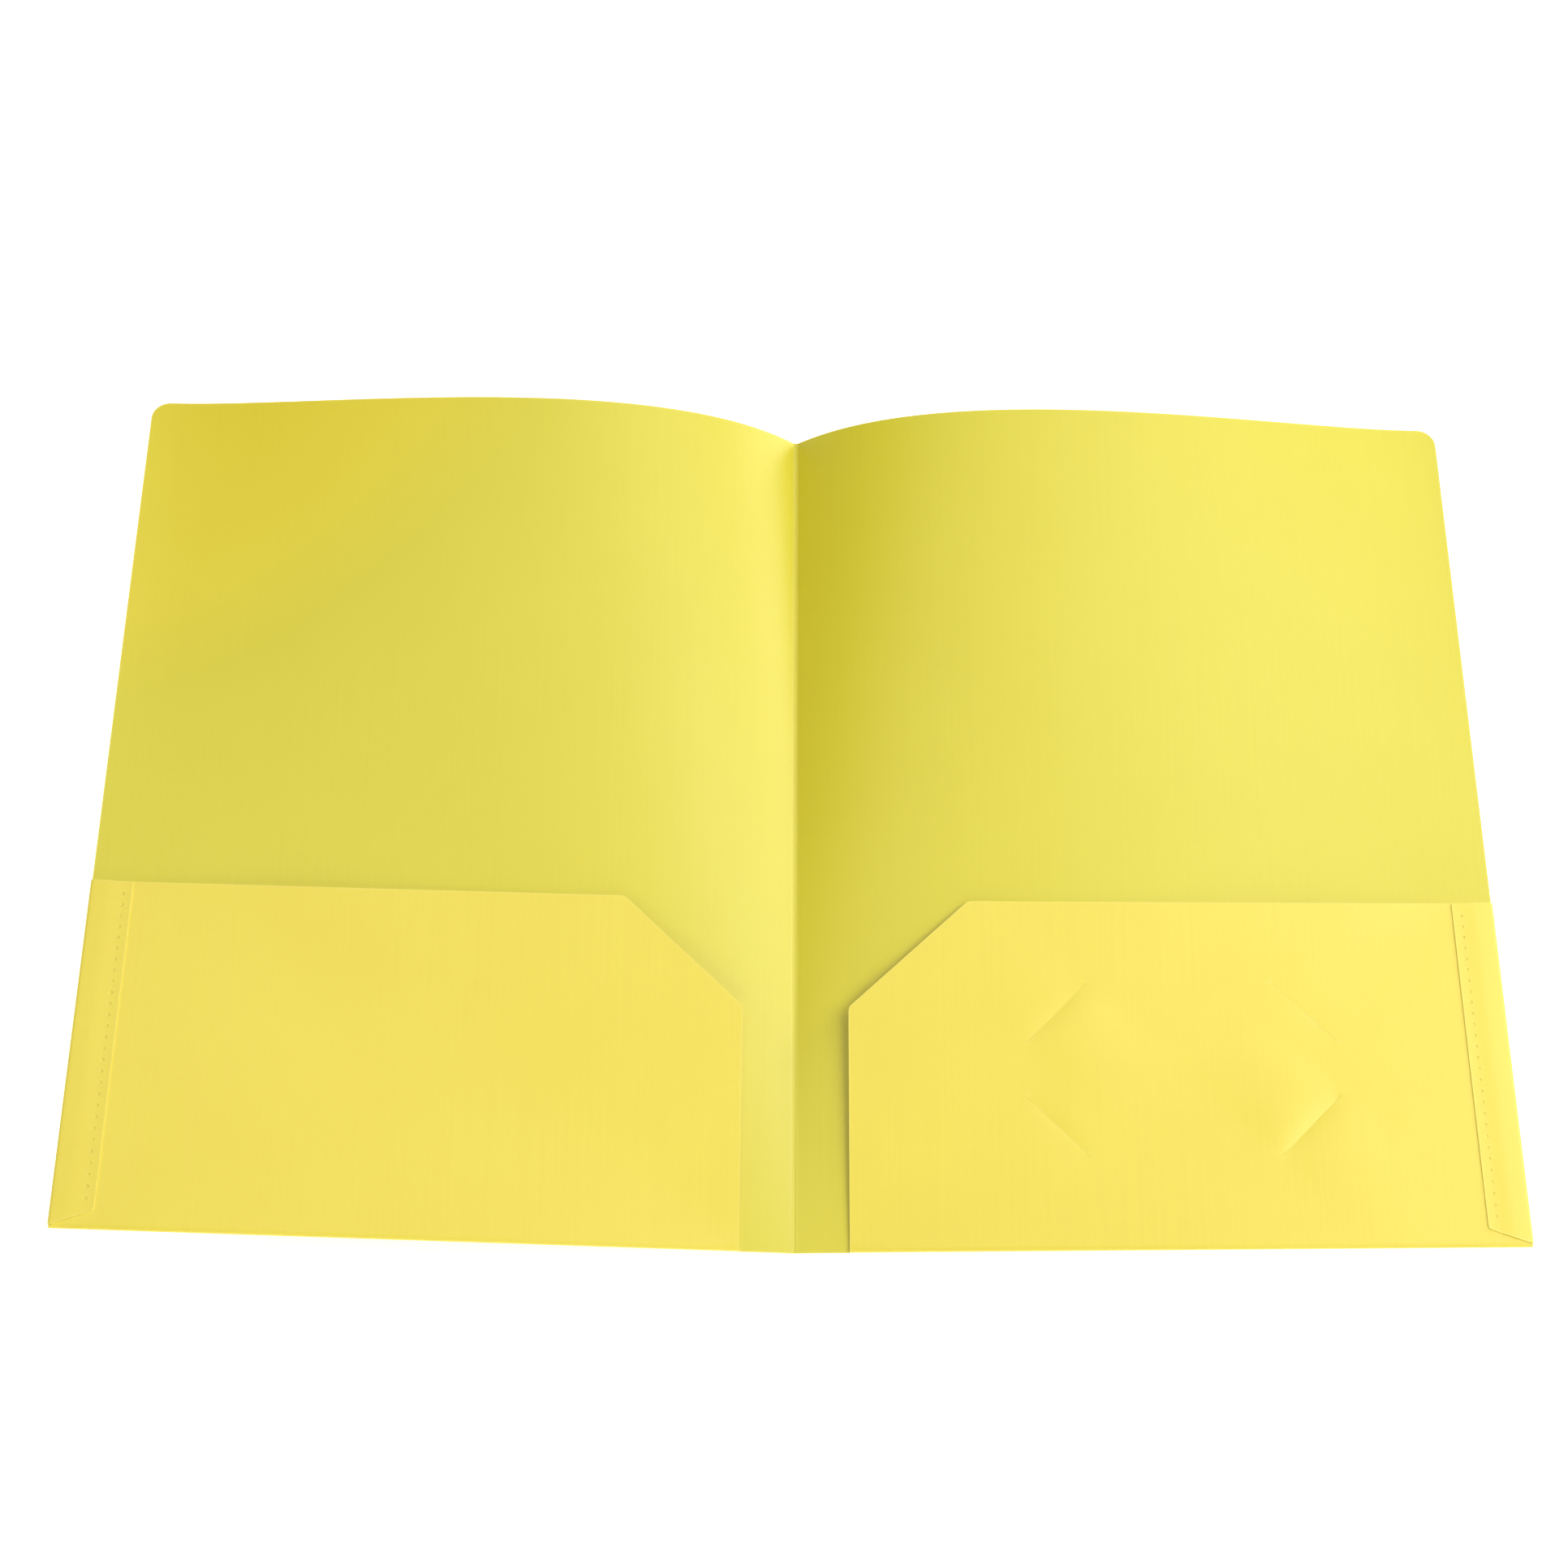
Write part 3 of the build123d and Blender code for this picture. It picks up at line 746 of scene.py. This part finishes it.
def sheet_finish(name, deep, pale, glow, finish):
    """Satin plastic sheet: faint clouds and drawn streaks, a fine matt grain, a painted highlight by its cut
    edges and a faint painted glow of its own colour.
    """
    _, sockets, start = new_finish(name)
    place = start.node("ShaderNodeUVMap", {"uv_map": "flat"}, {})
    drawn = start.node("ShaderNodeVectorMath", {"operation": "MULTIPLY"}, {0: place, 1: STREAK_STRETCH})
    cloud = noise(start, place, CLOUD_SCALE, BROAD_LAYERS)
    streak = noise(start, drawn, STREAK_SCALE, BROAD_LAYERS)
    grain = noise(start, place, GRAIN_SCALE, FINE_LAYERS)
    near = start.node("ShaderNodeAttribute", {"attribute_name": "cut_edge"}, {}, "Fac")
    tone = cloud * CLOUD_TONE + streak * STREAK_TONE + grain * GRAIN_TONE - TONE_SHIFT
    # Near a cut edge the colour turns towards the painted edge highlight
    base = (near**PAINTED_EDGE_FADE * PAINTED_EDGE_SHARE).between(tone.between(deep, pale), finish.cut_edge)
    rough = finish.roughness - ROUGH_SPREAD + streak * ROUGH_SPREAD + grain * ROUGH_SPREAD
    height = grain + streak * STREAK_HEIGHT
    relief = {"Strength": finish.grain, "Distance": GRAIN_DEPTH, "Height": height}
    bump = start.node("ShaderNodeBump", {}, relief)
    # The base colour is also given off as a painted glow, standing in for light through the sheet
    for key, wire in (("Base Color", base), ("Emission Color", base), ("Roughness", rough), ("Normal", bump)):
        wire.into(sockets[key])
    sockets["Specular IOR Level"].default_value = finish.gloss
    # Strength of the painted glow
    sockets["Emission Strength"].default_value = glow


def weld_finish(finish):
    """Melted plastic: smoother and deeper in colour than the sheet, with small uneven puddles."""
    _, sockets, start = new_finish("weld_spots")
    place = start.node("ShaderNodeUVMap", {"uv_map": "flat"}, {})
    puddle = noise(start, place, PUDDLE_SCALE, FINE_LAYERS)
    pale = [min(1.0, part * PUDDLE_PALE) for part in finish.weld]
    base = puddle.between(finish.weld, pale)
    rough = finish.roughness - MELT_SMOOTH + puddle * MELT_SPREAD
    relief = {"Strength": PUDDLE_BUMP, "Distance": PUDDLE_DEPTH, "Height": puddle}
    bump = start.node("ShaderNodeBump", {}, relief)
    for key, wire in (("Base Color", base), ("Roughness", rough), ("Normal", bump)):
        wire.into(sockets[key])


def finishes():
    """The sheet's inside face, its outside face, its cut edge with its painted highlight and glow, and the
    welds, made once.
    """
    finish = bpy.context.scene.folder_finish
    made = bpy.data.materials
    if "inside_face" not in made:
        # Both faces get the faint painted glow that stands in for light through the sheet
        through = finish.painted_through_glow
        sheet_finish("inside_face", finish.inside_deep, finish.inside_pale, through, finish)
        sheet_finish("outside_face", finish.outside_deep, finish.outside_pale, through, finish)
        # The cut faces are painted paler and glow: a painted highlight standing in for light that the sheet
        # leads to its edges
        sheet_finish("cut_face", finish.outside_pale, finish.cut_edge, finish.painted_edge_glow, finish)
        weld_finish(finish)
    return made["inside_face"], made["outside_face"], made["cut_face"], made["weld_spots"]


class FOLDER_OT_covers(bpy.types.Operator):
    """Makes both covers"""

    bl_idname = "folder.make_covers"
    bl_label = "Covers"

    def execute(self, context):
        shape = FolderShape(context.scene.folder_sizes)
        inner, outer, cut, _ = finishes()
        blank = cut_blank(shape.cover_outline(), [], shape.mesh_step)
        for side in SIDES:
            cover = thick_sheet(
                f"{side.name}_cover_sheet", blank, shape.cover, shape.sheet, side, (inner, outer, cut)
            )
            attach(cover, side.name)
            Vector(side.point(0, 0, 1000))
            side.point(0, 0, shape.sheet)
            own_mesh(cover)
            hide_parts(f"{side.name}_cover")
        return {"FINISHED"}


class FOLDER_OT_spine(bpy.types.Operator):
    """Makes the scored spine, which bends from one cover to the other"""

    bl_idname = "folder.make_spine"
    bl_label = "Spine"

    def execute(self, context):
        shape = FolderShape(context.scene.folder_sizes)
        inner, outer, cut, _ = finishes()
        across = np.linspace(shape.cover_start, -shape.cover_start, SPINE_STEPS + 1)
        groove = shape.score_depth * np.exp(-((across / GROOVE_WIDTH) ** 2))
        top = np.stack([across, shape.sheet - groove], axis=1)
        under = np.stack([across, -GROOVE_UNDER * groove], axis=1)[::-1]
        flat_x, level = np.concatenate([top, under]).T
        turn = np.clip(0.5 - flat_x / SPINE_BEND, 0, 1)
        angle = FRONT.tilt * turn * turn * (3 - 2 * turn)
        x = flat_x * np.cos(angle) + level * np.sin(angle)
        z = level * np.cos(angle) - flat_x * np.sin(angle)
        rows = np.linspace(shape.near, shape.far, SPINE_ROWS + 1)
        verts = np.array([(a, y, b) for y in rows for a, b in zip(x, z)]) / 1000
        flat = np.array([(a, y) for y in rows for a in flat_x])
        count = len(flat_x)
        faces, slots = [], []
        for first in range(0, SPINE_ROWS * count, count):
            second = first + count
            for k in range(count):
                after = (k + 1) % count
                faces.append([second + k, second + after, first + after, first + k])
                slots.append(0 if k < SPINE_STEPS else 1)
        faces += [list(range(count)), list(range(SPINE_ROWS * count, len(verts)))[::-1]]
        slots += [2, 2]
        spine = mesh_piece("spine_score", verts, faces, slots, flat, (inner, outer, cut))
        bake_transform(spine)
        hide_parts("spine_crease")
        return {"FINISHED"}


class FOLDER_OT_pockets(bpy.types.Operator):
    """Makes both pockets with their bottom folds and their free corners bent up"""

    bl_idname = "folder.make_pockets"
    bl_label = "Pockets"

    def execute(self, context):
        shape = FolderShape(context.scene.folder_sizes)
        inner, outer, cut, _ = finishes()
        outline = shape.pocket_outline()
        along = shape.flex_length / 2
        foot_x, foot_y = shape.flex_foot
        middle = (foot_x + along * shape.flex_cos, foot_y + along * shape.flex_sin)
        kinds = ((BACK, shape.slit_cuts(), shape.card_pocket), (FRONT, [], shape.pocket))
        for side, holes, surface in kinds:
            blank = cut_blank(outline, holes, shape.mesh_step)
            pocket = thick_sheet(
                f"{side.name}_pocket_sheet", blank, surface, shape.sheet, side, (outer, inner, cut)
            )
            for reach in (-LIP_BLEND, LIP_BLEND):
                x = middle[0] - reach * shape.flex_sin
                y = middle[1] + reach * shape.flex_cos
                side.point(x, y, shape.pocket_mid)
            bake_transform(pocket)
            nodes = [f"{side.name}_{part}" for part in ("pocket", "pocket_lip", "bottom_crease")]
            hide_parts(*nodes)
        return {"FINISHED"}


class FOLDER_OT_flaps(bpy.types.Operator):
    """Makes the flaps that fold over the pockets' outer edges"""

    bl_idname = "folder.make_flaps"
    bl_label = "Flaps"

    def execute(self, context):
        shape = FolderShape(context.scene.folder_sizes)
        inner, outer, cut, _ = finishes()
        radius, angles = shape.weld_radius, turns(HOLE_STEPS)
        holes = [[(a + radius * cos(t), b + radius * sin(t)) for t in angles] for a, b in shape.welds()]
        blank = cut_blank(shape.flap_outline(), holes, shape.mesh_step / 2)
        for side in SIDES:
            flap = thick_sheet(
                f"{side.name}_flap_sheet", blank, shape.flap, shape.sheet, side, (outer, inner, cut)
            )
            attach(flap, side.name)
            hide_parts(f"{side.name}_side_flap", f"{side.name}_side_crease")
        return {"FINISHED"}


def weld_spot(shape, along, inset):
    """Points, flat places and faces of one dished weld spot, closed underneath."""
    level = shape.flap(np.array([along]), np.array([inset]))[0] + (0, 0, shape.sheet / 2)
    verts, flat = [level + (0, 0, WELD_MIDDLE)], [(along, inset)]
    for reach, rise in WELD_SECTION:
        for turn in turns(WELD_STEPS):
            x, y = shape.weld_radius * reach * cos(turn), shape.weld_radius * reach * sin(turn)
            verts.append(level + (x, y, rise))
            flat.append((along + y, inset - x))
    under = len(verts)
    verts.append(level + (0, 0, WELD_FOOT))
    flat.append((along, inset))
    faces = []
    for k in range(WELD_STEPS):
        after = (k + 1) % WELD_STEPS
        faces.append([0, 1 + k, 1 + after])
        faces.append([under - WELD_STEPS + k, under, under - WELD_STEPS + after])
        for low in range(1, under - WELD_STEPS, WELD_STEPS):
            high = low + WELD_STEPS
            faces.append([low + k, high + k, high + after, low + after])
    return verts, flat, faces


class FOLDER_OT_welds(bpy.types.Operator):
    """Makes the rows of melted weld spots"""

    bl_idname = "folder.make_welds"
    bl_label = "Weld spots"

    def execute(self, context):
        shape = FolderShape(context.scene.folder_sizes)
        weld = finishes()[3]
        verts, flat, faces = [], [], []
        for along, inset in shape.welds():
            first = len(verts)
            spot_verts, spot_flat, spot_faces = weld_spot(shape, along, inset)
            verts += spot_verts
            flat += spot_flat
            faces += [[first + corner for corner in face] for face in spot_faces]
        verts, flat, slots = np.array(verts), np.array(flat), [0] * len(faces)
        for side in SIDES:
            name = f"{side.name}_weld_spots"
            row = mesh_piece(name, side(verts), faces, slots, flat, (weld,), side.mirrored)
            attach(row, side.name)
            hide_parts(f"{side.name}_weld_row")
        return {"FINISHED"}


def room_light(strength):
    """Pale light from all round."""
    world = bpy.data.worlds.new("room")
    world.use_nodes = True
    sockets = world.node_tree.nodes["Background"].inputs
    sockets["Color"].default_value = WHITE
    sockets["Strength"].default_value = strength
    bpy.context.scene.world = world


def bowl_floor(colour_of_floor, glow):
    """Wide matt floor whose rim rises far away, so that low views end on it too."""
    verts = [(r * cos(t), r * sin(t), z - FLOOR_DROP) for r, z in FLOOR_BOWL for t in turns(FLOOR_STEPS)]
    faces = [list(range(FLOOR_STEPS))]
    for low in range(0, len(verts) - FLOOR_STEPS, FLOOR_STEPS):
        for k in range(FLOOR_STEPS):
            first, after = low + k, low + (k + 1) % FLOOR_STEPS
            faces.append([first, first + FLOOR_STEPS, after + FLOOR_STEPS, after])
    mesh = bpy.data.meshes.new("floor")
    mesh.from_pydata(verts, [], faces)
    mesh.polygons.foreach_set("use_smooth", [True] * len(mesh.polygons))
    matt, sockets, _ = new_finish("floor")
    sockets["Base Color"].default_value = (*colour_of_floor, 1)
    sockets["Roughness"].default_value = FLOOR_ROUGHNESS
    sockets["Specular IOR Level"].default_value = FLOOR_GLOSS
    sockets["Emission Color"].default_value = WHITE
    sockets["Emission Strength"].default_value = glow
    mesh.materials.append(matt)
    return linked("floor", mesh)


def soft_light(name, watts, size, place, shows_in_gloss):
    """A square soft light that looks at the folder."""
    lamp = bpy.data.lights.new(name, "AREA")
    lamp.energy = watts
    lamp.size = size
    light = linked(name, lamp)
    light.location = place
    light.rotation_euler = (-Vector(place)).to_track_quat("-Z", "Y").to_euler()
    light.visible_camera = False
    light.visible_glossy = shows_in_gloss


def warm_spill(watts):
    """Warm lamp that shines straight down beyond the far left corner and just reaches it."""
    lamp = bpy.data.lights.new("warm_spill", "SPOT")
    lamp.energy = watts
    lamp.color = SPILL_COLOUR
    lamp.spot_size = SPILL_ANGLE
    lamp.spot_blend = SPILL_BLEND
    linked("warm_spill", lamp).location = SPILL_PLACE


def photo_camera():
    """Camera that sees the folder as the photograph does."""
    camera = linked("camera", bpy.data.cameras.new("camera"))
    camera.data.sensor_width = CAMERA_SENSOR
    camera.data.lens = CAMERA_LENS
    camera.data.shift_y = CAMERA_SHIFT
    turn = Matrix.Rotation(CAMERA_TURN, 4, "Z") @ Matrix.Rotation(pi / 2 - CAMERA_DOWN, 4, "X")
    camera.matrix_world = Matrix.Translation(CAMERA_PLACE) @ turn @ Matrix.Rotation(CAMERA_LEAN, 4, "Z")
    bpy.context.scene.camera = camera


class FOLDER_OT_stage(bpy.types.Operator):
    """Sets up the pale floor, the soft lights and the camera"""

    bl_idname = "folder.make_stage"
    bl_label = "Stage"

    def execute(self, context):
        stage = context.scene.folder_stage
        context.scene.view_settings.view_transform = "Standard"
        room_light(stage.room)
        floor = bowl_floor(stage.floor, stage.floor_glow)
        for name, (size, place, shows_in_gloss) in SOFT_LIGHTS.items():
            soft_light(name, getattr(stage, name), size, place, shows_in_gloss)
        warm_spill(stage.warm)
        photo_camera()
        return {"FINISHED"}


class FOLDER_PT_panel(bpy.types.Panel):
    """Lists the folder's pieces, sizes, finish and stage"""

    bl_idname = "FOLDER_PT_panel"
    bl_label = "Two pocket folder"
    bl_space_type = "VIEW_3D"
    bl_region_type = "UI"
    bl_category = "Folder"

    def draw(self, context):
        for operator in OPERATORS:
            self.layout.operator(operator.bl_idname)
        for group in GROUPS:
            box = self.layout.box()
            settings = getattr(context.scene, group)
            for name in type(settings).__annotations__:
                box.prop(settings, name)


OPERATORS = (
    FOLDER_OT_covers,
    FOLDER_OT_spine,
    FOLDER_OT_pockets,
    FOLDER_OT_flaps,
    FOLDER_OT_welds,
    FOLDER_OT_stage,
)
GROUPS = {"folder_sizes": FolderSizes, "folder_finish": FolderFinish, "folder_stage": FolderStage}


def register():
    """Registers every class and hangs the settings on the scene."""
    for kind in (*GROUPS.values(), *OPERATORS, FOLDER_PT_panel):
        bpy.utils.register_class(kind)
    for name, kind in GROUPS.items():
        setattr(bpy.types.Scene, name, PointerProperty(type=kind))


def unregister():
    """Takes the settings and the classes away again."""
    for name in GROUPS:
        delattr(bpy.types.Scene, name)
    for kind in (FOLDER_PT_panel, *reversed(OPERATORS), *GROUPS.values()):
        bpy.utils.unregister_class(kind)


def main():
    """Registers the add-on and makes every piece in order."""
    register()
    bpy.ops.folder.make_covers()
    bpy.ops.folder.make_spine()
    bpy.ops.folder.make_pockets()
    bpy.ops.folder.make_flaps()
    bpy.ops.folder.make_welds()
    bpy.ops.folder.make_stage()
    bpy.context.view_layer.update()


if __name__ == "__main__":
    main()
